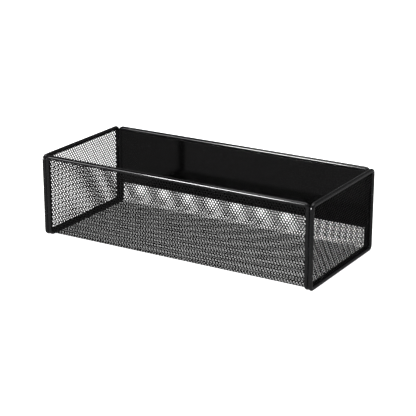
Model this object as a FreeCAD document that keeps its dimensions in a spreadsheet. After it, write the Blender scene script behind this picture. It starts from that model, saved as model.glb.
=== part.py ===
"""Black mesh desk organizer: an open-topped steel basket, millimetres, +Z up.

The origin is the middle of the footprint on the floor. +X runs along the basket, and -Y is its front.
A sheet of expanded metal is folded up at the front and the back, and a rolled steel rim, wired inside,
runs round its free edge. A rimmed mesh panel is welded to each end, and a plain sheet closes the upper
part of the back on the inside.
"""
import FreeCAD, Part
import os
import re
import Sketcher
from FreeCAD import Vector

SIZES = {
    # overall
    "length": 305.0,  # along X, over both end frames
    "depth": 132.5,  # along Y, over the front and back rims
    "height": 85.0,
    # rolled rim: a strip wrapped round a core wire, pressed to a rounded square
    "rim_size": 4.2,  # across its flats, both ways
    "rim_round": 1.9,  # corner radius of its section
    "rim_wall": 0.6,  # thickness of the strip
    "core_clearance": 0.1,  # between the strip and the core wire
    "corner_radius": 3.4,  # of the rim's centre line at the corners of a panel
    "fold_radius": 4.3,  # of the rim's centre line and the mesh at the two long folds
    "run_split": 14.0,  # height at which the front and back runs meet the side runs
    # expanded metal
    "mesh_thickness": 0.8,  # over its twisted strands
    "mesh_gap": 0.05,  # between the mesh's edge and the core wire
    # back plate and its spot welds
    "plate_thickness": 1.0,
    "plate_bottom": 22.5,  # height of its lower edge
    "plate_gap": 0.02,  # between its edges and the rim
    "spot_diameter": 3.0,
    "spot_columns": 6,
    "spot_side_inset": 22.0,  # from the plate's ends to the outer columns
    "spot_edge_inset": 9.0,  # from the plate's long edges to the two rows
    # weld beads in the grooves between an end frame and the body's rim
    "bead_length": 8.0,
    "bead_sink": 0.3,  # how far a bead's face lies under the rims' faces
    "bead_low": 22.0,  # from the floor to the lower beads on an upright groove
    "bead_drop": 15.0,  # from the top of the basket down to the upper beads
    "bead_offset": 34.0,  # from the middle of the bottom groove to a bead's middle
}

PLACES = {
    # middles of the rims and of the mesh
    "end_mid": "length / 2 - rim_size / 2",
    "seam": "length / 2 - rim_size",
    "side_mid": "length / 2 - 1.5 * rim_size",
    "face_mid": "depth / 2 - rim_size / 2",
    "top_mid": "height - rim_size / 2",
    "base_mid": "rim_size / 2",
    # sections of the rim and of its core wire
    "half_rim": "rim_size / 2",
    "half_bore": "rim_size / 2 - rim_wall",
    "bore_round": "rim_round - rim_wall",
    "core_radius": "half_bore - core_clearance",
    # mesh sheets, which reach through the rim's slot to the core wire
    "mesh_reach": "core_radius + mesh_gap",
    "mesh_outer_y": "face_mid + mesh_thickness / 2",
    "mesh_inner_y": "face_mid - mesh_thickness / 2",
    "mesh_under": "base_mid - mesh_thickness / 2",
    "mesh_over": "base_mid + mesh_thickness / 2",
    "fold_outer": "fold_radius + mesh_thickness / 2",
    "fold_inner": "fold_radius - mesh_thickness / 2",
    "mesh_top": "top_mid - mesh_reach",
    "mesh_width": "2 * (side_mid - mesh_reach)",
    "mesh_round": "corner_radius - mesh_reach",
    "end_mesh_y": "face_mid - mesh_reach",
    "end_mesh_base": "base_mid + mesh_reach",
    # back plate, between the rim's inner faces and on the mesh's inner face
    "plate_x": "side_mid - half_rim - plate_gap",
    "plate_top": "top_mid - half_rim - plate_gap",
    "plate_round": "corner_radius - half_rim - plate_gap",
    "spot_x": "plate_x - spot_side_inset",
    "spot_low": "plate_bottom + spot_edge_inset",
    "spot_high": "plate_top - spot_edge_inset",
    "spot_radius": "spot_diameter / 2",
    # weld beads, by the rounded corners of the two rims that meet at the seam
    "upright_root": "depth / 2 - rim_size + rim_round",
    "upright_face": "depth / 2 - rim_size + bead_sink",
    "floor_root": "rim_size - rim_round",
    "floor_face": "rim_size - bead_sink",
    "bead_high": "height - bead_drop - bead_length",
    "bead_near": "bead_offset - bead_length / 2",
    "bead_far": "bead_offset + bead_length / 2",
}

doc = FreeCAD.newDocument("desk_organizer")


def make_sheet(name, cells):
    """A spreadsheet with one named value a row: its name in column A and its content in column B."""
    sheet = doc.addObject("Spreadsheet::Sheet", name)
    for row, (alias, content) in enumerate(cells.items(), start=1):
        sheet.set(f"A{row}", alias)
        sheet.set(f"B{row}", content)
        sheet.setAlias(f"B{row}", alias)
    doc.recompute()
    return sheet


def worked_out(rule):
    """A rule of PLACES as a cell, with the driving sizes taken from their own sheet."""
    return "=" + re.sub("[a-z_]+", lambda word: f"sizes.{word[0]}" if word[0] in SIZES else word[0], rule)


sizes = make_sheet("sizes", {name: str(value) for name, value in SIZES.items()})
places = make_sheet("places", {name: worked_out(rule) for name, rule in PLACES.items()})


# ---- terms: the name of a cell, with a minus sign before it where needed, or "0" ----


def number(term):
    """What a term is worth now."""
    name = term.lstrip("-")
    if name == "0":
        return 0.0
    sheet = sizes if name in SIZES else places
    return float(sheet.get(name)) * (-1 if term.startswith("-") else 1)


def formula(term):
    """A term as an expression that refers to its sheet."""
    name = term.lstrip("-")
    sheet = "sizes" if name in SIZES else "places"
    return ("-" if term.startswith("-") else "") + f"{sheet}.{name}"


# ---- bodies, sketches and features ----


def new_body(label, at_x="0"):
    """An empty body, moved along X by a term."""
    body = doc.addObject("PartDesign::Body", label)
    body.Label = label
    if at_x != "0":
        body.setExpression("Placement.Base.x", formula(at_x))
    return body


def origin_feature(body, role):
    """The body's own origin plane or axis."""
    return next(item for item in body.Origin.OriginFeatures if item.Role == role)


def new_sketch(body, name, plane, lift="0"):
    """A sketch on one of the body's origin planes, lifted along the plane's normal by a term."""
    sketch = body.newObject("Sketcher::SketchObject", name)
    sketch.AttachmentSupport = [(origin_feature(body, f"{plane}_Plane"), "")]
    sketch.MapMode = "FlatFace"
    if lift != "0":
        sketch.setExpression("AttachmentOffset.Base.z", formula(lift))
    return sketch


def tie(sketch, constraint, term):
    """Adds a constraint and binds its value to the sheet."""
    index = sketch.addConstraint(constraint)
    sketch.setExpression(f"Constraints[{index}]", formula(term))


def hold(sketch, shape, point, across=None, up=None):
    """Holds a point of a sketch at a term across, a term up, or both."""
    for kind, term, axis in (("DistanceX", across, -2), ("DistanceY", up, -1)):
        if term == "0":
            sketch.addConstraint(Sketcher.Constraint("PointOnObject", shape, point, axis))
        elif term:
            tie(sketch, Sketcher.Constraint(kind, -1, 1, shape, point, number(term)), term)


def arc_between(sketch, start, centre, end, radius):
    """The short arc from start to end, and which of its own ends is at start and which at end."""
    bulge = ((start - centre).normalize() + (end - centre).normalize()).normalize()
    arc = sketch.addGeometry(Part.Arc(start, centre + bulge * radius, end))
    anticlockwise = (start - centre).cross(end - centre).z > 0
    return (arc, 1, 2) if anticlockwise else (arc, 2, 1)


def outline(sketch, corners, rounds, closed=True):
    """Level and upright lines through the corners, with a tangent arc wherever a corner has a radius.

    corners are pairs of terms, and neighbours share one of the two. rounds gives a term or None for each.
    """
    count = len(corners)
    points = [Vector(number(across), number(up), 0) for across, up in corners]

    def beside(index, towards):
        """Where a line starts beside a corner: at the corner, or where its arc ends."""
        if rounds[index] is None:
            return points[index]
        way = (points[towards] - points[index]).normalize()
        return points[index] + way * number(rounds[index])

    lines = []
    for start in range(count if closed else count - 1):
        end = (start + 1) % count
        line = sketch.addGeometry(Part.LineSegment(beside(start, end), beside(end, start)))
        across, up = corners[start]
        if up == corners[end][1]:
            sketch.addConstraint(Sketcher.Constraint("Horizontal", line))
            hold(sketch, line, 1, up=up)
        else:
            sketch.addConstraint(Sketcher.Constraint("Vertical", line))
            hold(sketch, line, 1, across=across)
        lines.append(line)

    for index in range(0 if closed else 1, count if closed else count - 1):
        before, after = lines[index - 1], lines[index]
        if rounds[index] is None:
            sketch.addConstraint(Sketcher.Constraint("Coincident", before, 2, after, 1))
            continue
        start, end = beside(index, index - 1), beside(index, (index + 1) % count)
        centre = start + end - points[index]
        arc, first, last = arc_between(sketch, start, centre, end, number(rounds[index]))
        sketch.addConstraint(Sketcher.Constraint("Tangent", before, 2, arc, first))
        sketch.addConstraint(Sketcher.Constraint("Tangent", after, 1, arc, last))
        tie(sketch, Sketcher.Constraint("Radius", arc, number(rounds[index])), rounds[index])

    if not closed:
        for line, point, corner, inner in ((lines[0], 1, 0, 1), (lines[-1], 2, count - 1, count - 2)):
            across, up = corners[corner]
            if up == corners[inner][1]:
                hold(sketch, line, point, across=across)
            else:
                hold(sketch, line, point, up=up)
    return sketch


def rounded_square(sketch, across, up, half, rounding):
    """A square with rounded corners about the point (across, up)."""
    centre = Vector(number(across), number(up), 0)
    side, radius = number(half), number(rounding)
    middle = sketch.addGeometry(Part.Point(centre), True)
    hold(sketch, middle, 1, across, up)
    ways = [Vector(1, -1, 0), Vector(1, 1, 0), Vector(-1, 1, 0), Vector(-1, -1, 0)]
    lines = []
    for index, way in enumerate(ways):
        next_way = ways[(index + 1) % 4]
        run = (next_way - way) / 2 * radius
        start, end = centre + way * side + run, centre + next_way * side - run
        line = sketch.addGeometry(Part.LineSegment(start, end))
        sketch.addConstraint(Sketcher.Constraint("Horizontal" if index % 2 else "Vertical", line))
        ends = (middle, 1, line, 1) if index < 2 else (line, 1, middle, 1)
        tie(sketch, Sketcher.Constraint("DistanceY" if index % 2 else "DistanceX", *ends, side), half)
        lines.append((line, start, end))
    for index, way in enumerate(ways):
        before, start = lines[index - 1][0], lines[index - 1][2]
        after, end = lines[index][0], lines[index][1]
        arc, first, last = arc_between(sketch, start, centre + way * (side - radius), end, radius)
        sketch.addConstraint(Sketcher.Constraint("Tangent", before, 2, arc, first))
        sketch.addConstraint(Sketcher.Constraint("Tangent", after, 1, arc, last))
        tie(sketch, Sketcher.Constraint("Radius", arc, radius), rounding)


def circle(sketch, across, up, radius):
    """A circle about the point (across, up)."""
    centre = Vector(number(across), number(up), 0)
    ring = sketch.addGeometry(Part.Circle(centre, Vector(0, 0, 1), number(radius)))
    hold(sketch, ring, 3, across, up)
    tie(sketch, Sketcher.Constraint("Radius", ring, number(radius)), radius)


def pad(body, name, sketch, thickness, both_ways=False):
    """A pad along its sketch's normal, or half of it each way."""
    feature = body.newObject("PartDesign::Pad", name)
    feature.Profile = sketch
    feature.SideType = "Symmetric" if both_ways else "One side"
    feature.setExpression("Length", formula(thickness))
    doc.recompute()
    return feature


def pocket(body, name, sketch, thickness):
    """A pocket cut half each way from its sketch's plane."""
    feature = body.newObject("PartDesign::Pocket", name)
    feature.Profile = sketch
    feature.SideType = "Symmetric"
    feature.setExpression("Length", formula(thickness))
    doc.recompute()
    return feature


def pipe(body, name, section, path, hollow):
    """A section carried along a path, and cut from the body if it is hollow."""
    feature = body.newObject(f"PartDesign::{'Subtractive' if hollow else 'Additive'}Pipe", name)
    feature.Profile = section
    feature.Spine = path
    doc.recompute()
    return feature


# ---- the runs that a rolled rim and its core wire follow ----


def strip_section(sketch, across, up):
    """The outside of the rolled strip."""
    rounded_square(sketch, across, up, "half_rim", "rim_round")


def bore_section(sketch, across, up):
    """The inside of the rolled strip."""
    rounded_square(sketch, across, up, "half_bore", "bore_round")


def core_section(sketch, across, up):
    """The round core wire."""
    circle(sketch, across, up, "core_radius")


def body_runs(body, draw_section, prefix, hollow=False):
    """Carries a section round the body's free edge: up and over each long face, then down each side."""
    for face, y, lift in (("front", "-face_mid", "face_mid"), ("back", "face_mid", "-face_mid")):
        section = new_sketch(body, f"{prefix}_{face}_section", "XY", "run_split")
        draw_section(section, "-side_mid", y)
        arch = new_sketch(body, f"{prefix}_{face}_arch", "XZ", lift)
        corners = [
            ("-side_mid", "run_split"),
            ("-side_mid", "top_mid"),
            ("side_mid", "top_mid"),
            ("side_mid", "run_split"),
        ]
        outline(arch, corners, (None, "corner_radius", "corner_radius", None), closed=False)
        pipe(body, f"{prefix}_{face}_run", section, arch, hollow)
    for side, x in (("left", "-side_mid"), ("right", "side_mid")):
        section = new_sketch(body, f"{prefix}_{side}_section", "XY", "run_split")
        draw_section(section, x, "-face_mid")
        trough = new_sketch(body, f"{prefix}_{side}_trough", "YZ", x)
        corners = [
            ("-face_mid", "run_split"),
            ("-face_mid", "base_mid"),
            ("face_mid", "base_mid"),
            ("face_mid", "run_split"),
        ]
        outline(trough, corners, (None, "fold_radius", "fold_radius", None), closed=False)
        pipe(body, f"{prefix}_{side}_run", section, trough, hollow)


def end_run(body, draw_section, prefix, hollow=False):
    """Carries a section round the closed frame of an end panel, from the middle of its bottom."""
    section = new_sketch(body, f"{prefix}_section", "XZ")
    draw_section(section, "0", "base_mid")
    frame = new_sketch(body, f"{prefix}_frame", "YZ")
    corners = [
        ("0", "base_mid"),
        ("face_mid", "base_mid"),
        ("face_mid", "top_mid"),
        ("-face_mid", "top_mid"),
        ("-face_mid", "base_mid"),
        ("0", "base_mid"),
    ]
    outline(frame, corners, (None, *["corner_radius"] * 4, None), closed=False)
    pipe(body, f"{prefix}_run", section, frame, hollow)


# ---- outlines that two pieces share ----


def folded_sheet(body, name):
    """The side view of the folded mesh: a U as thick as the sheet."""
    corners = [
        ("-mesh_outer_y", "mesh_top"),
        ("-mesh_outer_y", "mesh_under"),
        ("mesh_outer_y", "mesh_under"),
        ("mesh_outer_y", "mesh_top"),
        ("mesh_inner_y", "mesh_top"),
        ("mesh_inner_y", "mesh_over"),
        ("-mesh_inner_y", "mesh_over"),
        ("-mesh_inner_y", "mesh_top"),
    ]
    rounds = (None, "fold_outer", "fold_outer", None, None, "fold_inner", "fold_inner", None)
    return outline(new_sketch(body, name, "YZ"), corners, rounds)


def end_sheet(body, name):
    """The outline of an end panel's mesh."""
    corners = [
        ("-end_mesh_y", "end_mesh_base"),
        ("end_mesh_y", "end_mesh_base"),
        ("end_mesh_y", "mesh_top"),
        ("-end_mesh_y", "mesh_top"),
    ]
    return outline(new_sketch(body, name, "YZ"), corners, ["mesh_round"] * 4)


def spot_column(body, name):
    """The left column of two spot welds, in the back's mesh."""
    sketch = new_sketch(body, name, "XZ", "-face_mid")
    for level in ("spot_low", "spot_high"):
        circle(sketch, "-spot_x", level, "spot_radius")
    return sketch


def in_columns(body, name, feature):
    """Repeats a feature along X over the columns of spot welds."""
    row = body.newObject("PartDesign::LinearPattern", name)
    row.Originals = [feature]
    row.Direction = (origin_feature(body, "X_Axis"), [""])
    row.setExpression("Length", "2 * places.spot_x")
    row.setExpression("Occurrences", "sizes.spot_columns")
    body.Tip = row
    doc.recompute()


def groove_section(sketch, root, face):
    """A bead's section on the seam: a flat face, and two arcs that fit the rims' rounded corners.

    root is the level of the two arcs' centres, where the rims part, and face is the level of the flat.
    """
    radius, deep, shallow = number("rim_round"), number(root), number(face)
    half = radius - (radius**2 - (shallow - deep) ** 2) ** 0.5
    tips = (Vector(-half, shallow, 0), Vector(half, shallow, 0))
    flat = sketch.addGeometry(Part.LineSegment(*tips))
    sketch.addConstraint(Sketcher.Constraint("Horizontal", flat))
    hold(sketch, flat, 1, up=face)
    for tip, end, middle in ((tips[0], 1, "-rim_round"), (tips[1], 2, "rim_round")):
        centre = Vector(number(middle), deep, 0)
        arc, first, last = arc_between(sketch, Vector(0, deep, 0), centre, tip, radius)
        hold(sketch, arc, 3, middle, root)
        tie(sketch, Sketcher.Constraint("Radius", arc, radius), "rim_round")
        hold(sketch, arc, first, up=root)
        sketch.addConstraint(Sketcher.Constraint("Coincident", arc, last, flat, end))


# ---- the body: folded mesh, its rim and the rim's core wire ----

body_mesh = new_body("body_mesh")
mesh_pad = pad(body_mesh, "mesh_pad", folded_sheet(body_mesh, "mesh_fold"), "mesh_width", both_ways=True)


def upper_corner_edges(shape):
    """The four short edges along Y at the upper corners of the folded mesh."""
    names = []
    for index, edge in enumerate(shape.Edges, start=1):
        box = edge.BoundBox
        if box.ZMin > number("top_mid") / 2 and box.XLength < 1e-6 and box.ZLength < 1e-6:
            names.append(f"Edge{index}")
    return names


mesh_corners = body_mesh.newObject("PartDesign::Fillet", "mesh_corners")
mesh_corners.Base = (mesh_pad, upper_corner_edges(mesh_pad.Shape))
mesh_corners.setExpression("Radius", formula("mesh_round"))
doc.recompute()
spot_holes = pocket(body_mesh, "spot_holes", spot_column(body_mesh, "spot_hole_column"), "mesh_thickness")
in_columns(body_mesh, "spot_hole_row", spot_holes)

body_rim = new_body("body_rim")
body_runs(body_rim, strip_section, "strip")
body_runs(body_rim, bore_section, "bore", hollow=True)
pocket(body_rim, "mesh_slot", folded_sheet(body_rim, "slot_fold"), "mesh_width")

body_rim_wire = new_body("body_rim_wire")
body_runs(body_rim_wire, core_section, "core")

# ---- the two end panels: mesh, rim and core wire ----

for end, middle in (("left", "-end_mid"), ("right", "end_mid")):
    mesh = new_body(f"{end}_end_mesh", middle)
    pad(mesh, f"{end}_mesh_pad", end_sheet(mesh, f"{end}_mesh_sheet"), "mesh_thickness", both_ways=True)
    rim = new_body(f"{end}_end_rim", middle)
    end_run(rim, strip_section, f"{end}_strip")
    end_run(rim, bore_section, f"{end}_bore", hollow=True)
    pocket(rim, f"{end}_slot", end_sheet(rim, f"{end}_slot_sheet"), "mesh_thickness")
    wire = new_body(f"{end}_end_rim_wire", middle)
    end_run(wire, core_section, f"{end}_core")

# ---- the back plate, and the spot welds that join it to the mesh ----

back_plate = new_body("back_plate")
plate_corners = [
    ("-plate_x", "plate_bottom"),
    ("plate_x", "plate_bottom"),
    ("plate_x", "plate_top"),
    ("-plate_x", "plate_top"),
]
plate_outline = outline(
    new_sketch(back_plate, "plate_outline", "XZ", "-mesh_inner_y"), plate_corners, ["plate_round"] * 4
)
pad(back_plate, "plate_pad", plate_outline, "plate_thickness")

plate_spot_welds = new_body("plate_spot_welds")
column = spot_column(plate_spot_welds, "spot_column")
spot_pad = pad(plate_spot_welds, "spot_pad", column, "mesh_thickness", both_ways=True)
in_columns(plate_spot_welds, "spot_row", spot_pad)

# ---- weld beads in the grooves where the end frames touch the body's rim ----

BEADS = (
    # name, sketch plane, lift along its normal, root and face of the groove
    ("front_low", "XY", "bead_low", "-upright_root", "-upright_face"),
    ("front_high", "XY", "bead_high", "-upright_root", "-upright_face"),
    ("back_low", "XY", "bead_low", "upright_root", "upright_face"),
    ("back_high", "XY", "bead_high", "upright_root", "upright_face"),
    ("floor_front", "XZ", "bead_near", "floor_root", "floor_face"),
    ("floor_back", "XZ", "-bead_far", "floor_root", "floor_face"),
)
for end, seam in (("left", "-seam"), ("right", "seam")):
    beads = new_body(f"{end}_end_welds", seam)
    for bead, plane, lift, root, face in BEADS:
        section = new_sketch(beads, f"{end}_{bead}_section", plane, lift)
        groove_section(section, root, face)
        pad(beads, f"{end}_{bead}_bead", section, "bead_length")

# ---- checks, and one STEP file for each sub-part ----

doc.recompute()
for item in doc.Objects:
    if "Invalid" in item.State or "Error" in item.State:
        raise RuntimeError(f"{item.Name} could not be worked out: {item.State}")
bodies = [item for item in doc.Objects if item.TypeId == "PartDesign::Body"]
for body in bodies:
    if body.Shape.isNull() or not body.Shape.isValid() or not body.Shape.Solids:
        raise RuntimeError(f"{body.Label} is not a valid solid")
os.makedirs("parts", exist_ok=True)
for body in bodies:
    body.Shape.exportStep(f"parts/{body.Label}.step")
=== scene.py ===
import math
import bmesh
import bpy
from mathutils import Matrix, Vector


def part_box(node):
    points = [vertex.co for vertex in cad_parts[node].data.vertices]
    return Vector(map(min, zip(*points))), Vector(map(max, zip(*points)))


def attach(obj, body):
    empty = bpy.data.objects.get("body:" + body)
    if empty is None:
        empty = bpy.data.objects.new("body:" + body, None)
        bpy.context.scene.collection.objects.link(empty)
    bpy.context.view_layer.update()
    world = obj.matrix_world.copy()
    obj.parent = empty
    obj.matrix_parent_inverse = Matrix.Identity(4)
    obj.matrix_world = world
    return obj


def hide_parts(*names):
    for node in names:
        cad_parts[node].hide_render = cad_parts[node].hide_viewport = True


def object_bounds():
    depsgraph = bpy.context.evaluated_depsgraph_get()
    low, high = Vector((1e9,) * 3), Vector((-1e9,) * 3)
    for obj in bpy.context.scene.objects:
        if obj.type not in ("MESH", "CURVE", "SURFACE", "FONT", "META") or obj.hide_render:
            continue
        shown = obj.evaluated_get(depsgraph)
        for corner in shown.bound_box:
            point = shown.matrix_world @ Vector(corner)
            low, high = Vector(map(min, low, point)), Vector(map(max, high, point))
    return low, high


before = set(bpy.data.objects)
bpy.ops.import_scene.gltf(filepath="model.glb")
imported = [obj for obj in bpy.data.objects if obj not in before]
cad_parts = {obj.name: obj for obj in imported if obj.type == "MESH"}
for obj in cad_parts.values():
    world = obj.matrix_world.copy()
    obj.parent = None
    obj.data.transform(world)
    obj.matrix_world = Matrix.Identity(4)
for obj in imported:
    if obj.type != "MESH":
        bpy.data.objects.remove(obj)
cad_box = [list(corner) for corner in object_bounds()]


# ---- Folded body of expanded metal ----------------------------------------------------------
# Mild steel sheet is slit in staggered rows and stretched, so that every strand is a leaning ribbon
# and each pair meets in a short bond. One sheet is folded up at the front and the back of the basket;
# the long way of the diamonds runs up the walls and from front to back along the floor.
MM = 0.001
TOUCHING = 0.001 * MM  # points nearer than this are one point
SHORT_WAY = 3.21 * MM  # from one diamond to the next in its row
LONG_WAY = 4.86 * MM  # from one diamond to the next, tip to tip
STRAND_WIDTH = 0.66 * MM
STRAND_METAL = 0.53 * MM  # thickness of the sheet before it is stretched
STRAND_RISE = 0.8 * MM  # thickness over the leaning strands
BOND_LENGTH = 0.7 * MM
BOND_HALF_WIDTH = 0.34 * MM
FOLD_RADIUS = 4.3 * MM  # of the sheet's middle at the two long folds
FOLD_STEPS = 8  # facets that the strands take round each fold


def linear(code):
    """An sRGB hex colour such as "#1a1a1c" as linear RGBA."""
    parts = [int(code[place : place + 2], 16) / 255 for place in (1, 3, 5)]
    return [part / 12.92 if part <= 0.04045 else ((part + 0.055) / 1.055) ** 2.4 for part in parts] + [1.0]


def add_node(tree, kind, sockets=None, **settings):
    """Adds a node with its settings, and gives each named input a value or the output that feeds it."""
    node = tree.nodes.new(kind)
    for name, value in settings.items():
        setattr(node, name, value)
    for name, value in (sockets or {}).items():
        if isinstance(value, bpy.types.NodeSocket):
            tree.links.new(value, node.inputs[name])
        else:
            node.inputs[name].default_value = value
    return node


def new_material(name):
    """An empty node material and its tree."""
    material = bpy.data.materials.new(name)
    material.use_nodes = True
    material.node_tree.nodes.clear()
    return material, material.node_tree


def new_piece(name, shape, material, sharp_from=None):
    """An object from a bmesh, shaded smooth but for the edges sharper than an angle in degrees."""
    data = bpy.data.meshes.new(name)
    shape.to_mesh(data)
    shape.free()
    data.shade_smooth()
    if sharp_from:
        data.set_sharp_from_angle(angle=math.radians(sharp_from))
    data.materials.append(material)
    piece = bpy.data.objects.new(name, data)
    bpy.context.scene.collection.objects.link(piece)
    return piece


def diamond():
    """One cell on the strands' middles, and its opening, each as six points (across, along)."""
    half_short, half_long, half_bond = SHORT_WAY / 2, LONG_WAY / 2, BOND_LENGTH / 2
    slope = (half_long - 2 * half_bond) / half_short
    inset = STRAND_WIDTH / 2 * math.hypot(1, slope)
    side = half_short - BOND_HALF_WIDTH
    shoulder = half_bond + slope * BOND_HALF_WIDTH - inset
    tip = half_long - half_bond
    cell = [(half_short, -half_bond), (half_short, half_bond), (0, tip)]
    opening = [(side, -shoulder), (side, shoulder), (0, tip - inset)]
    return [points + [(-across, -along) for across, along in points] for points in (cell, opening)]


def expanded_sheet(width, length, keep=lambda along: True, cuts=(), phase=0.0):
    """Flat expanded metal as a bmesh: x across and about 0, y along from 0, z out of the sheet.

    Only the rows whose middle keep() accepts are made, and the strands are split at the cuts, where the
    sheet will be folded. phase moves the pattern across the sheet, in shares of a diamond.
    """
    cell, opening = diamond()
    side, shoulder = opening[1]
    tip = opening[2][1]
    lean = (STRAND_RISE - STRAND_METAL) / 2 / (1 + shoulder / tip)  # of the ribbons, out of the sheet
    columns = math.ceil(width / SHORT_WAY / 2) + 1
    points, faces = [], []
    walls = {}
    for row in range(math.ceil(length / LONG_WAY * 2) + 2):
        along = row * LONG_WAY / 2
        for column in range(-columns, columns + 1) if keep(along) else ():
            across = (column + row % 2 / 2 + phase) * SHORT_WAY
            first = len(points)
            for out in (STRAND_METAL / 2, -STRAND_METAL / 2):
                points += [(across + x, along + y, out) for x, y in cell]
                points += [
                    (across + x, along + y, out - lean * (x / side + y / tip)) for x, y in opening
                ]
            for corner in range(6):
                cell_a, cell_b = first + corner, first + (corner + 1) % 6
                hole_a, hole_b = cell_a + 6, cell_b + 6
                faces.append((cell_a, cell_b, hole_b, hole_a))
                faces.append((cell_b + 12, cell_a + 12, hole_a + 12, hole_b + 12))
                faces.append((hole_a, hole_b, hole_b + 12, hole_a + 12))
                edge = (points[cell_a], points[cell_b])
                middle = tuple(round((edge[0][axis] + edge[1][axis]) / MM, 3) for axis in (0, 1))
                if walls.pop(middle, None) is None:
                    walls[middle] = (cell_b, cell_a, cell_a + 12, cell_b + 12)
    faces += walls.values()  # they close the strands wherever no other cell stands against them
    data = bpy.data.meshes.new("flat")
    data.from_pydata(points, [], faces)
    sheet = bmesh.new()
    sheet.from_mesh(data)
    bpy.data.meshes.remove(data)
    bmesh.ops.remove_doubles(sheet, verts=sheet.verts, dist=TOUCHING)
    trims = [((width / 2, 0, 0), (1, 0, 0)), ((-width / 2, 0, 0), (-1, 0, 0))]
    trims += [((0, 0, 0), (0, -1, 0)), ((0, length, 0), (0, 1, 0))]
    for place, away in trims:
        everything = sheet.verts[:] + sheet.edges[:] + sheet.faces[:]
        cut = bmesh.ops.bisect_plane(
            sheet, geom=everything, plane_co=place, plane_no=away, clear_outer=True
        )
        ends = [item for item in cut["geom_cut"] if isinstance(item, bmesh.types.BMEdge)]
        bmesh.ops.holes_fill(sheet, edges=ends, sides=0)
    for along in cuts:
        everything = sheet.verts[:] + sheet.edges[:] + sheet.faces[:]
        bmesh.ops.bisect_plane(sheet, geom=everything, plane_co=(0, along, 0), plane_no=(0, 1, 0))
    return sheet


# Black powder coat on expanded steel: a plain deep black, a little duller on the narrow strands than on
# sheet, and cloudy where the film is thicker. Its fine grain is drawn at 0.7 mm, coarse enough to show.
mesh_coat, tree = new_material("black_powder_coat_on_expanded_steel")
place = add_node(tree, "ShaderNodeTexCoord").outputs["Object"]
cloud = add_node(tree, "ShaderNodeTexNoise", {"Vector": place, "Scale": 1 / (9 * MM), "Detail": 3.0})
grain = add_node(tree, "ShaderNodeTexNoise", {"Vector": place, "Scale": 1 / (0.7 * MM), "Detail": 1.0})
tint = add_node(
    tree,
    "ShaderNodeMix",
    {"Factor": cloud.outputs["Fac"], "A": linear("#080808"), "B": linear("#0f0f0f")},
    data_type="RGBA",
)
gloss = add_node(tree, "ShaderNodeMapRange", {"Value": grain.outputs["Fac"], "To Min": 0.32, "To Max": 0.42})
bump = add_node(
    tree, "ShaderNodeBump", {"Height": grain.outputs["Fac"], "Strength": 0.3, "Distance": 0.03 * MM}
)
shader = add_node(
    tree,
    "ShaderNodeBsdfPrincipled",
    {
        "Base Color": tint.outputs["Result"],
        "Roughness": gloss.outputs["Result"],
        "Normal": bump.outputs["Normal"],
        "IOR": 1.5,
        "Specular IOR Level": 0.05,
    },
)
add_node(tree, "ShaderNodeOutputMaterial", {"Surface": shader.outputs["BSDF"]})

low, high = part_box("body_mesh")
wall_y = high.y - STRAND_RISE / 2
base_z = low.z + STRAND_RISE / 2
straight = high.z - base_z - FOLD_RADIUS
bend = math.pi / 2 * FOLD_RADIUS
sheet_length = 2 * (straight + bend + wall_y - FOLD_RADIUS)


def folded(along, out):
    """Where a point of the flat sheet lies once the sheet is folded, as (y, z)."""
    side = -1 if along < sheet_length / 2 else 1
    down = min(along, sheet_length - along)
    if down <= straight:
        return side * (wall_y + out), high.z - down
    if down >= straight + bend:
        return side * (wall_y - FOLD_RADIUS - (down - straight - bend)), base_z - out
    turn = (down - straight) / FOLD_RADIUS
    reach = FOLD_RADIUS + out
    return (
        side * (wall_y - FOLD_RADIUS + reach * math.cos(turn)),
        base_z + FOLD_RADIUS - reach * math.sin(turn),
    )


creases = [straight + bend * step / FOLD_STEPS for step in range(FOLD_STEPS + 1)]
creases += [sheet_length - crease for crease in creases]
halfway_round = straight + bend / 2
stretches = {
    "front_mesh": lambda along: along < halfway_round,
    "floor_mesh": lambda along: halfway_round <= along < sheet_length - halfway_round,
    "back_mesh": lambda along: along >= sheet_length - halfway_round,
}
for name, keep in stretches.items():
    sheet = expanded_sheet(high.x - low.x, sheet_length, keep, creases)
    for vert in sheet.verts:
        y, z = folded(vert.co.y, vert.co.z)
        vert.co = (vert.co.x, y, z)
    bmesh.ops.reverse_faces(sheet, faces=sheet.faces)  # the fold has turned them inside out
    panel = new_piece(name, sheet, mesh_coat)
    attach(panel, "root")
    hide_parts("body_mesh")


# ---- End panels of expanded metal -----------------------------------------------------------
# A flat rectangle of the same mesh closes each end of the basket, its diamonds standing on their
# tips. Its edges reach into the slot of the end rim and stop at the wire there. The right one is the
# left one turned upside down, so its strands lean the other way.
END_PHASE = 0.6  # of the pattern along an end panel, in shares of a diamond

for side, way in (("left", 1), ("right", -1)):
    low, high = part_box(f"{side}_end_mesh")
    middle_x = (low.x + high.x) / 2
    start_z = low.z if way > 0 else high.z
    sheet = expanded_sheet(high.y - low.y, high.z - low.z, phase=END_PHASE)
    for vert in sheet.verts:
        vert.co = (middle_x + way * vert.co.z, vert.co.x, start_z + way * vert.co.y)
    panel = new_piece(f"{side}_end_strands", sheet, mesh_coat)
    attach(panel, "root")
    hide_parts(f"{side}_end_mesh")


# ---- Rolled rims ----------------------------------------------------------------------------
# Steel strip is rolled round the mesh's edge and a wire, and pressed to a rounded square. One rim is
# bent with the body, and each end panel has its own, with a butt seam in the middle of the bottom.
RIM_ROUND = 1.9 * MM  # corner radius of the rim's section
STRIP_METAL = 0.6 * MM
CORNER_RADIUS = 3.4 * MM  # of the rim's middle at the corners of a panel
SEAM_GAP = 0.15 * MM
TURN_STEPS = 14  # rings round each bend
ROUND_STEPS = 7  # facets round each corner of the section

low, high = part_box("left_end_rim")
rim_size = high.x - low.x


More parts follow.
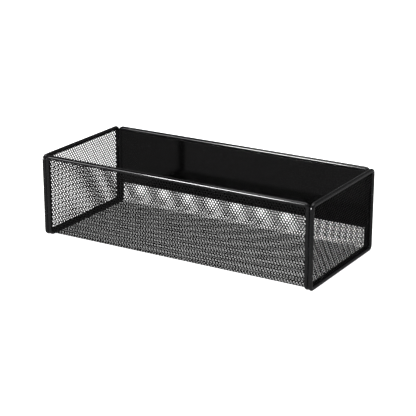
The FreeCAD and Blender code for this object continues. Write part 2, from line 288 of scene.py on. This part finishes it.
def half_section(half, rounding):
    """The upper half of a rounded square, from the slot's lip at its inner side to its outer middle."""
    flat = half - rounding
    lip = math.asin((STRAND_RISE / 2 - flat) / rounding)
    points = []
    for start, stop, centre in ((lip, math.pi / 2, flat), (math.pi / 2, math.pi, -flat)):
        for step in range(ROUND_STEPS + 1):
            turn = start + (stop - start) * step / ROUND_STEPS
            points.append((centre + rounding * math.cos(turn), flat + rounding * math.sin(turn)))
    return points


def strip_section():
    """The rolled strip cut across, as a closed C about the wire: (towards the mesh, out of the sheet)."""
    outside = half_section(rim_size / 2, RIM_ROUND)
    inside = half_section(rim_size / 2 - STRIP_METAL, RIM_ROUND - STRIP_METAL)
    outside += [(inward, -out) for inward, out in reversed(outside)]
    inside += [(inward, -out) for inward, out in reversed(inside)]
    return outside + inside[::-1]


def rolled_rim(start, corners, radii, inward, outward):
    """The strip's section carried round a closed path of right-angled bends, open by the seam's gap."""
    ways = [(corner - before).normalized() for before, corner in zip([start] + corners, corners + [start])]
    rings = [(start + ways[0] * SEAM_GAP / 2, inward, outward)]
    for corner, radius, before, after in zip(corners, radii, ways, ways[1:]):
        centre = corner + (after - before) * radius
        axis = before.cross(after)
        for step in range(TURN_STEPS + 1):
            spin = Matrix.Rotation(math.pi / 2 * step / TURN_STEPS, 3, axis)
            rings.append((centre - spin @ after * radius, spin @ inward, spin @ outward))
        inward, outward = rings[-1][1:]
    rings.append((start - ways[-1] * SEAM_GAP / 2, inward, outward))
    shape = bmesh.new()
    loops = []
    for middle, across, out in rings:
        loops.append([shape.verts.new(middle + across * a + out * b) for a, b in strip_section()])
    for near, far in zip(loops, loops[1:]):
        for index in range(len(near)):
            shape.faces.new((near[index - 1], near[index], far[index], far[index - 1]))
    half = len(loops[0]) // 2
    for loop in (loops[0], loops[-1]):
        for index in range(half - 1):
            shape.faces.new((loop[index], loop[index + 1], loop[-index - 2], loop[-index - 1]))
    bmesh.ops.recalc_face_normals(shape, faces=shape.faces)
    return shape


# Black gloss powder coat on rolled steel: a deep black with a soft orange peel, so that highlights run
# along the rim as bright lines with a faint waver, and slow clouds of slightly duller film.
rim_coat, tree = new_material("black_gloss_powder_coat_on_rolled_steel")
place = add_node(tree, "ShaderNodeTexCoord").outputs["Object"]
cloud = add_node(tree, "ShaderNodeTexNoise", {"Vector": place, "Scale": 1 / (22 * MM), "Detail": 2.0})
peel = add_node(tree, "ShaderNodeTexNoise", {"Vector": place, "Scale": 1 / (1.6 * MM), "Detail": 1.0})
tint = add_node(
    tree,
    "ShaderNodeMix",
    {"Factor": cloud.outputs["Fac"], "A": linear("#040405"), "B": linear("#0b0b0c")},
    data_type="RGBA",
)
gloss = add_node(tree, "ShaderNodeMapRange", {"Value": cloud.outputs["Fac"], "To Min": 0.06, "To Max": 0.1})
bump = add_node(
    tree, "ShaderNodeBump", {"Height": peel.outputs["Fac"], "Strength": 0.2, "Distance": 0.015 * MM}
)
shader = add_node(
    tree,
    "ShaderNodeBsdfPrincipled",
    {
        "Base Color": tint.outputs["Result"],
        "Roughness": gloss.outputs["Result"],
        "Normal": bump.outputs["Normal"],
        "IOR": 1.5,
        "Specular IOR Level": 0.8,
    },
)
add_node(tree, "ShaderNodeOutputMaterial", {"Surface": shader.outputs["BSDF"]})

low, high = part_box("body_rim")
x, y = high.x - rim_size / 2, high.y - rim_size / 2
base, top = low.z + rim_size / 2, high.z - rim_size / 2
body_corners = [
    Vector(corner)
    for corner in (
        (-x, -y, base), (-x, -y, top), (x, -y, top), (x, -y, base),
        (x, y, base), (x, y, top), (-x, y, top), (-x, y, base),
    )
]
body_radii = [FOLD_RADIUS, CORNER_RADIUS, CORNER_RADIUS, FOLD_RADIUS] * 2
rims = {
    "body_rim": rolled_rim(
        Vector((-x, 0, base)), body_corners, body_radii, Vector((1, 0, 0)), Vector((0, 0, -1))
    )
}
for side, sign in (("left", -1), ("right", 1)):
    low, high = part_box(f"{side}_end_rim")
    x = (low.x + high.x) / 2
    corners = [Vector((x, *corner)) for corner in ((-y, base), (-y, top), (y, top), (y, base))]
    rims[f"{side}_end_rim"] = rolled_rim(
        Vector((x, 0, base)), corners, [CORNER_RADIUS] * 4, Vector((0, 0, 1)), Vector((sign, 0, 0))
    )
for name, shape in rims.items():
    rim = new_piece(f"{name}_strip", shape, rim_coat, sharp_from=40)
    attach(rim, "root")
    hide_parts(name)


# ---- Core wires -----------------------------------------------------------------------------
# Black annealed steel wire, 2.8 mm thick, lies inside each rolled rim and keeps it round and stiff. It is
# bent to the rim's loop before the strip is rolled over it, and shows only as a shadow in the mesh's slot.

# Black annealed wire: a dull blue-black oxide over steel, with a fine mottle of scale 0.3 mm across.
wire_steel, tree = new_material("black_annealed_steel_wire")
place = add_node(tree, "ShaderNodeTexCoord").outputs["Object"]
scale = add_node(tree, "ShaderNodeTexNoise", {"Vector": place, "Scale": 1 / (0.3 * MM), "Detail": 2.0})
tint = add_node(
    tree,
    "ShaderNodeMix",
    {"Factor": scale.outputs["Fac"], "A": linear("#16171a"), "B": linear("#2a2b2e")},
    data_type="RGBA",
)
gloss = add_node(tree, "ShaderNodeMapRange", {"Value": scale.outputs["Fac"], "To Min": 0.5, "To Max": 0.7})
shader = add_node(
    tree,
    "ShaderNodeBsdfPrincipled",
    {"Base Color": tint.outputs["Result"], "Roughness": gloss.outputs["Result"], "Metallic": 1.0},
)
add_node(tree, "ShaderNodeOutputMaterial", {"Surface": shader.outputs["BSDF"]})
for name in ("body_rim_wire", "left_end_rim_wire", "right_end_rim_wire"):
    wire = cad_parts[name]
    wire.data.materials.clear()
    wire.data.materials.append(wire_steel)


# ---- Back plate -----------------------------------------------------------------------------
# A flat sheet of 1 mm steel lies against the inside of the back's mesh, from just under the top rim
# to a quarter of the height, and from post to post. Its sheared edges are rubbed round before coating,
# and the enamel closes the hair gap between them and the rim.
PLATE_CORNER = 1.28 * MM
PLATE_EDGE = 0.05 * MM  # rounding of the sheared edges
ENAMEL_BRIDGE = 0.04 * MM  # how far the enamel stands out from them
CORNER_STEPS = 6

low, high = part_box("back_plate")
reach = PLATE_CORNER + ENAMEL_BRIDGE
outline = []
for quarter, (x, z) in enumerate(((1, 1), (-1, 1), (-1, -1), (1, -1))):
    centre_x = (high.x if x > 0 else low.x) - x * PLATE_CORNER
    centre_z = (high.z if z > 0 else low.z) - z * PLATE_CORNER
    for step in range(CORNER_STEPS + 1):
        turn = math.pi / 2 * (quarter + step / CORNER_STEPS)
        outline.append((centre_x + reach * math.cos(turn), centre_z + reach * math.sin(turn)))
sheet = bmesh.new()
face = sheet.faces.new([sheet.verts.new((x, low.y, z)) for x, z in outline])
pushed = bmesh.ops.extrude_face_region(sheet, geom=[face])
for item in pushed["geom"]:
    if isinstance(item, bmesh.types.BMVert):
        item.co.y = high.y
bmesh.ops.recalc_face_normals(sheet, faces=sheet.faces)
long_edges = [edge for edge in sheet.edges if abs(edge.verts[0].co.y - edge.verts[1].co.y) < TOUCHING]
bmesh.ops.bevel(sheet, geom=long_edges, offset=PLATE_EDGE, segments=3, profile=0.5, affect="EDGES")

# Black high-gloss enamel on smooth steel sheet: almost a dark mirror. It shows a dim, slightly soft
# image of the mesh, posts and floor in front of it, and a faint long waver from the sheet's rolling.
plate_enamel, tree = new_material("black_high_gloss_enamel_on_steel_sheet")
place = add_node(tree, "ShaderNodeTexCoord").outputs["Object"]
wave = add_node(tree, "ShaderNodeTexNoise", {"Vector": place, "Scale": 1 / (30 * MM), "Detail": 1.0})
peel = add_node(tree, "ShaderNodeTexNoise", {"Vector": place, "Scale": 1 / (2.2 * MM), "Detail": 1.0})
tint = add_node(
    tree,
    "ShaderNodeMix",
    {"Factor": wave.outputs["Fac"], "A": linear("#020202"), "B": linear("#040404")},
    data_type="RGBA",
)
gloss = add_node(tree, "ShaderNodeMapRange", {"Value": peel.outputs["Fac"], "To Min": 0.07, "To Max": 0.1})
bump = add_node(
    tree, "ShaderNodeBump", {"Height": peel.outputs["Fac"], "Strength": 0.1, "Distance": 0.004 * MM}
)
shader = add_node(
    tree,
    "ShaderNodeBsdfPrincipled",
    {
        "Base Color": tint.outputs["Result"],
        "Roughness": gloss.outputs["Result"],
        "Normal": bump.outputs["Normal"],
        "IOR": 1.5,
        "Specular IOR Level": 0.95,
    },
)
add_node(tree, "ShaderNodeOutputMaterial", {"Surface": shader.outputs["BSDF"]})
plate = new_piece("back_plate_sheet", sheet, plate_enamel, sharp_from=40)
for flat in sorted(plate.data.polygons, key=lambda polygon: polygon.area)[-2:]:
    flat.use_smooth = False  # its rounded edges would otherwise bend what it mirrors
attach(plate, "root")
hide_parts("back_plate")


# ---- Spot welds of the plate ----------------------------------------------------------------
# Two rows of resistance spot welds hold the plate to the mesh. Under the electrode the strands are
# squeezed together into a flat round button with a slight crater, coated black with the rest.
SPOT_PROFILE = (  # (radius, height over the plate), in shares of the button's radius and height
    (0.0, 0.72), (0.45, 0.74), (0.66, 0.9), (0.8, 1.0), (0.93, 0.86), (1.0, 0.45), (1.0, 0.0),
)
SPOT_SIDES = 28
FACET_GAP = 0.01 * MM  # the most by which the facets of one CAD solid miss each other


def solid_boxes(cad_node):
    """The box of each separate solid in a CAD node, as (lowest corner, highest corner)."""
    shape = bmesh.new()
    shape.from_mesh(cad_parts[cad_node].data)
    bmesh.ops.remove_doubles(shape, verts=shape.verts, dist=FACET_GAP)
    left = set(shape.verts)
    boxes = []
    while left:
        waiting = [left.pop()]
        found = []
        while waiting:
            vert = waiting.pop()
            found.append(vert.co.copy())
            for edge in vert.link_edges:
                other = edge.other_vert(vert)
                if other in left:
                    left.remove(other)
                    waiting.append(other)
        boxes.append([Vector(map(pick, zip(*found))) for pick in (min, max)])
    shape.free()
    return sorted(boxes, key=lambda box: tuple(round(value, 5) for value in box[0]))


buttons = bmesh.new()
for low, high in solid_boxes("plate_spot_welds"):
    radius, height = (high.x - low.x) / 2, high.y - low.y
    middle = (low + high) / 2
    rings = []
    for share, rise in SPOT_PROFILE[1:]:
        ring = []
        for side in range(SPOT_SIDES):
            turn = 2 * math.pi * side / SPOT_SIDES
            across, up = share * radius * math.cos(turn), share * radius * math.sin(turn)
            ring.append(buttons.verts.new((middle.x + across, low.y + rise * height, middle.z + up)))
        rings.append(ring)
    crown = buttons.verts.new((middle.x, low.y + SPOT_PROFILE[0][1] * height, middle.z))
    for side in range(SPOT_SIDES):
        buttons.faces.new((crown, rings[0][side - 1], rings[0][side]))
        for near, far in zip(rings, rings[1:]):
            buttons.faces.new((near[side], near[side - 1], far[side - 1], far[side]))
    buttons.faces.new(rings[-1])
bmesh.ops.recalc_face_normals(buttons, faces=buttons.faces)
spots = new_piece("plate_spot_buttons", buttons, mesh_coat, sharp_from=50)
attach(spots, "root")
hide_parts("plate_spot_welds")


# ---- Weld beads of the end frames -----------------------------------------------------------
# Short fusion welds lie in the grooves where an end rim meets the body's rim, on the inside. Each is a
# row of overlapping ripples that fills the groove between the two rounded corners, coated black.
RIPPLE = 1.0 * MM  # spacing of the ripples along a bead
RIPPLE_RISE = 0.09 * MM
BEAD_CROWN = 0.1 * MM  # the sides of a bead's face lie this far below its middle
BEAD_TAPER = 12  # a bead is full within 1/12 of its length from either end
BEAD_BLUNT = 0.15  # square of its share of the full size at the very end
BEAD_STATIONS = 48
BEAD_SIDES = 9

for side in ("left", "right"):
    beads = bmesh.new()
    for low, high in solid_boxes(f"{side}_end_welds"):
        middle, size = (low + high) / 2, high - low
        run = 2 if size.z > size.y else 1
        rise = 3 - run
        outward = 1 if run == 1 or middle.y < 0 else -1
        root = (low if outward > 0 else high)[rise]
        stations = []
        for station in range(BEAD_STATIONS + 1):
            share = station / BEAD_STATIONS
            along = low[run] + size[run] * share
            taper = min(1.0, BEAD_TAPER * min(share, 1 - share) + BEAD_BLUNT) ** 0.5
            wave = abs(math.sin(math.pi * (along - low[run]) / RIPPLE))
            ring = []
            for step in range(BEAD_SIDES):
                turn = math.pi * step / (BEAD_SIDES - 1)
                place = Vector((middle.x, 0, 0))
                place.x += size.x / 2 * taper * math.cos(turn)
                crown = (RIPPLE_RISE * wave + BEAD_CROWN) * taper * math.sin(turn)
                place[rise] = root + outward * (size[rise] * taper - BEAD_CROWN + crown)
                place[run] = along
                ring.append(beads.verts.new(place))
            foot = Vector((middle.x, 0, 0))
            foot[rise], foot[run] = root, along
            ring.append(beads.verts.new(foot))
            stations.append(ring)
        for near, far in zip(stations, stations[1:]):
            for index in range(len(near)):
                beads.faces.new((near[index - 1], near[index], far[index], far[index - 1]))
        beads.faces.new(stations[0])
        beads.faces.new(stations[-1])
    bmesh.ops.recalc_face_normals(beads, faces=beads.faces)
    welds = new_piece(f"{side}_end_beads", beads, rim_coat, sharp_from=60)
    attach(welds, "root")
    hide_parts(f"{side}_end_welds")


# ---- Studio ---------------------------------------------------------------------------------
# The basket stands on a sheet of opal acrylic lit from beneath, which curves up behind it all round.
# A soft box low on the left draws a bright line along the two long rims, a wide dim one behind it
# carries the line on towards the corners, and one overhead lifts the tops of the rims.
SWEEP_RADIUS = 6.0  # metres, of the sheet's round edge
SWEEP_CURVE = 1.5  # radius of its turn upwards
SWEEP_TOP = 4.0
SWEEP_STEPS = 8  # facets in that turn
SWEEP_SIDES = 64

# Opal acrylic: a matt white glow with a very faint mottle, which leaves almost no shadow.
opal, tree = new_material("opal_acrylic_light_table")
place = add_node(tree, "ShaderNodeTexCoord").outputs["Object"]
mottle = add_node(tree, "ShaderNodeTexNoise", {"Vector": place, "Scale": 1 / (25 * MM), "Detail": 2.0})
tint = add_node(
    tree,
    "ShaderNodeMix",
    {"Factor": mottle.outputs["Fac"], "A": linear("#f2f2f2"), "B": linear("#f6f6f6")},
    data_type="RGBA",
)
shader = add_node(
    tree,
    "ShaderNodeBsdfPrincipled",
    {
        "Base Color": tint.outputs["Result"],
        "Roughness": 0.9,
        "Specular IOR Level": 0.2,
        "Emission Color": linear("#ffffff"),
        "Emission Strength": 0.9,
    },
)
add_node(tree, "ShaderNodeOutputMaterial", {"Surface": shader.outputs["BSDF"]})
profile = [(SWEEP_RADIUS - SWEEP_CURVE, 0.0)]
for step in range(1, SWEEP_STEPS + 1):
    turn = math.pi / 2 * step / SWEEP_STEPS
    profile.append((profile[0][0] + SWEEP_CURVE * math.sin(turn), SWEEP_CURVE * (1 - math.cos(turn))))
profile.append((SWEEP_RADIUS, SWEEP_TOP))
ground = bmesh.new()
rings = []
for radius, z in profile:
    turns = [2 * math.pi * side / SWEEP_SIDES for side in range(SWEEP_SIDES)]
    rings.append([ground.verts.new((radius * math.cos(turn), radius * math.sin(turn), z)) for turn in turns])
ground.faces.new(rings[0])
for near, far in zip(rings, rings[1:]):
    for side in range(SWEEP_SIDES):
        ground.faces.new((near[side - 1], near[side], far[side], far[side - 1]))
floor = new_piece("floor", ground, opal, sharp_from=40)
floor.visible_glossy = False  # the gloss mirrors the dim room instead

# The room that the gloss mirrors: pale grey below and around, darkening to the ceiling.
world = bpy.data.worlds.new("studio")
world.use_nodes = True
tree = world.node_tree
way = add_node(tree, "ShaderNodeTexCoord").outputs["Generated"]
rise = add_node(tree, "ShaderNodeSeparateXYZ", {"Vector": way}).outputs["Z"]
wall = add_node(
    tree,
    "ShaderNodeMapRange",
    {"Value": rise, "From Min": 0.05, "From Max": 0.45, "To Min": 0.25, "To Max": 0.08},
    interpolation_type="SMOOTHSTEP",
)
surround = tree.nodes["Background"]
tree.links.new(wall.outputs["Result"], surround.inputs["Strength"])
surround.inputs["Color"].default_value = linear("#ffffff")
bpy.context.scene.world = world

SOFT_BOXES = (  # name, place, what it faces, width, height (metres), power (watts)
    ("overhead_soft_box", (0.0, 0.1, 1.6), (0.0, 0.0, 0.0), 1.6, 1.6, 12.0),
    ("low_left_soft_box", (-0.535, -1.12, 0.22), (0.0, 0.0, 0.06), 0.27, 0.24, 8.5),
    ("wide_dim_soft_box", (-0.65, -1.2, 0.23), (0.0, 0.0, 0.06), 0.8, 0.24, 5.5),
)
for name, place, faced, width, height, power in SOFT_BOXES:
    light = bpy.data.lights.new(name, "AREA")
    light.shape = "RECTANGLE"
    light.size = width
    light.size_y = height
    light.energy = power
    lamp = bpy.data.objects.new(name, light)
    lamp.location = place
    lamp.rotation_euler = (Vector(faced) - Vector(place)).to_track_quat("-Z", "Y").to_euler()
    bpy.context.scene.collection.objects.link(lamp)
bpy.context.scene.view_settings.view_transform = "Standard"

# The camera stands to the right of the front and a little above it, well back with a long lens.
AZIMUTH = math.radians(31.15)
ELEVATION = math.radians(18.72)
DISTANCE = 4.484  # in lengths of the basket
AIM_X, AIM_Y = 0.038, -0.050  # what it looks at, in lengths from the middle
SENSOR_WIDTH, FOCAL_LENGTH = 36.0, 120.4  # millimetres

length, height = (cad_box[1][axis] - cad_box[0][axis] for axis in (0, 2))
back = Vector((math.sin(AZIMUTH), -math.cos(AZIMUTH), math.tan(ELEVATION))).normalized()
lens = bpy.data.cameras.new("camera")
lens.sensor_width = SENSOR_WIDTH
lens.lens = FOCAL_LENGTH
camera = bpy.data.objects.new("camera", lens)
aim = Vector((AIM_X * length, AIM_Y * length, height / 2))
camera.location = aim + back * DISTANCE * length
camera.rotation_euler = (-back).to_track_quat("-Z", "Y").to_euler()
bpy.context.scene.collection.objects.link(camera)
bpy.context.scene.camera = camera
